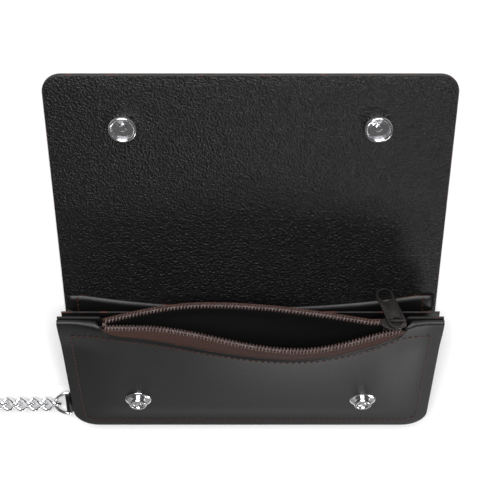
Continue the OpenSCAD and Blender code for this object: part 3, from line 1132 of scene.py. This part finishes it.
class WALLET_OT_hook(bpy.types.Operator):
    """Make the swivel hook at the end of the chain"""

    bl_idname = "wallet.hook"
    bl_label = "Swivel hook"

    def execute(self, context):
        refined_copy("hook_eye", "swivel_eye", "chain", "eye", 0.1)
        refined_copy("hook_body", "swivel_hook", "chain", "hook", 0.3)
        refined_copy("hook_gate", "swivel_hook_gate", "chain", "gate", 0.2)
        refined_copy("hook_gate_pin", "swivel_hook_pin", "spring", "hook", 0.1)
        refined_copy("hook_gate_spring", "swivel_hook_spring", "spring", "hook", 0.02)
        return {"FINISHED"}


class WALLET_OT_stage(bpy.types.Operator):
    """Set the stage: white floor, soft lights and the camera above the flap"""

    bl_idname = "wallet.stage"
    bl_label = "Stage"

    def execute(self, context):
        scene = context.scene
        scene.view_settings.view_transform = "Standard"
        self.floor()
        self.lights(scene)
        self.camera(scene)
        return {"FINISHED"}

    def floor(self):
        bm = bmesh.new()
        bmesh.ops.create_grid(bm, x_segments=1, y_segments=1, size=4)
        bmesh.ops.translate(bm, vec=(0, 0, CAD_BOX[0][2] - 0.05 * MM), verts=bm.verts)
        mesh = bpy.data.meshes.new("floor")
        bm.to_mesh(mesh)
        bm.free()
        floor = bpy.data.objects.new("floor", mesh)
        bpy.context.scene.collection.objects.link(floor)
        material, tree = new_material("matt white paper")
        place = add_node(tree, "ShaderNodeTexCoord")
        tooth = add_node(tree, "ShaderNodeTexNoise", inputs={"Vector": (place, "Object"), "Scale": 400.0})
        tone = ramp(tree, (tooth, "Fac"), [(0.0, (0.93, 0.93, 0.93, 1)), (1.0, (0.97, 0.97, 0.97, 1))])
        close_material(tree, Base_Color=(tone, "Color"), Roughness=0.9)
        mesh.materials.append(material)

    def lights(self, scene):
        world = bpy.data.worlds.new("studio")
        scene.world = world
        world.use_nodes = True
        background = world.node_tree.nodes["Background"]
        background.inputs["Color"].default_value = (1, 1, 1, 1)
        background.inputs["Strength"].default_value = 0.12
        # the key stands on the camera's side; the low front box grazes the pocket, and the other two the flap
        for name, place, size, power in (
            ("key soft box", (-0.1, 1.25, 1.25), (1.6, 1.4), 52),
            ("low front box", (0.1, -1.2, 0.3), (1.3, 0.5), 0.4),
            ("corner box", (0.75, -1.3, 0.9), (0.4, 0.4), 8.0),
            ("sky box", (0.3, -1.2, 0.8), (1.2, 0.5), 1.2),
        ):
            data = bpy.data.lights.new(name, "AREA")
            data.shape = "RECTANGLE"
            data.size, data.size_y = size
            data.energy = power
            lamp = bpy.data.objects.new(name, data)
            lamp.location = place
            lamp.rotation_euler = (Vector((0, 0.03, 0)) - Vector(place)).to_track_quat("-Z", "Y").to_euler()
            scene.collection.objects.link(lamp)

    def camera(self, scene):
        elevation = math.radians(53.3)
        stand = (-0.0002, 0.4176, 0.4826)
        data = bpy.data.cameras.new("camera")
        data.lens = 92.7
        data.sensor_width = 36
        data.shift_y = 0.006
        data.clip_start = 0.01
        camera = bpy.data.objects.new("camera", data)
        right = Vector((1, 0, 0))
        up = Vector((0, math.sin(elevation), -math.cos(elevation)))
        back = Vector((0, math.cos(elevation), math.sin(elevation)))
        turn = Matrix((right, up, back)).transposed().to_4x4()
        camera.matrix_world = Matrix.Translation(stand) @ turn
        scene.collection.objects.link(camera)
        scene.camera = camera


class WALLET_PT_panel(bpy.types.Panel):
    """Lists the wallet's pieces"""

    bl_idname = "WALLET_PT_panel"
    bl_label = "Chain Wallet"
    bl_space_type = "VIEW_3D"
    bl_region_type = "UI"
    bl_category = "Wallet"

    def draw(self, context):
        for group in (context.scene.wallet_sizes, context.scene.wallet_colours):
            for name in group.__annotations__:
                self.layout.prop(group, name)
        for operator in OPERATORS:
            self.layout.operator(operator.bl_idname)


OPERATORS = (
    WALLET_OT_stage,
    WALLET_OT_cover,
    WALLET_OT_leaves,
    WALLET_OT_gussets,
    WALLET_OT_pocket,
    WALLET_OT_zip,
    WALLET_OT_slider,
    WALLET_OT_snaps,
    WALLET_OT_stitching,
    WALLET_OT_chain,
    WALLET_OT_hook,
)
CLASSES = (WalletSizes, WalletColours, *OPERATORS, WALLET_PT_panel)


def register():
    """Register the add-on's classes and its settings."""
    for cls in CLASSES:
        bpy.utils.register_class(cls)
    bpy.types.Scene.wallet_sizes = bpy.props.PointerProperty(type=WalletSizes)
    bpy.types.Scene.wallet_colours = bpy.props.PointerProperty(type=WalletColours)


def unregister():
    """Take the add-on's classes and settings away again."""
    del bpy.types.Scene.wallet_colours
    del bpy.types.Scene.wallet_sizes
    for cls in reversed(CLASSES):
        bpy.utils.unregister_class(cls)


def main():
    """Build every piece round the frame."""
    register()
    for operator in OPERATORS:
        group, name = operator.bl_idname.split(".")
        getattr(getattr(bpy.ops, group), name)()


if __name__ == "__main__":
    main()
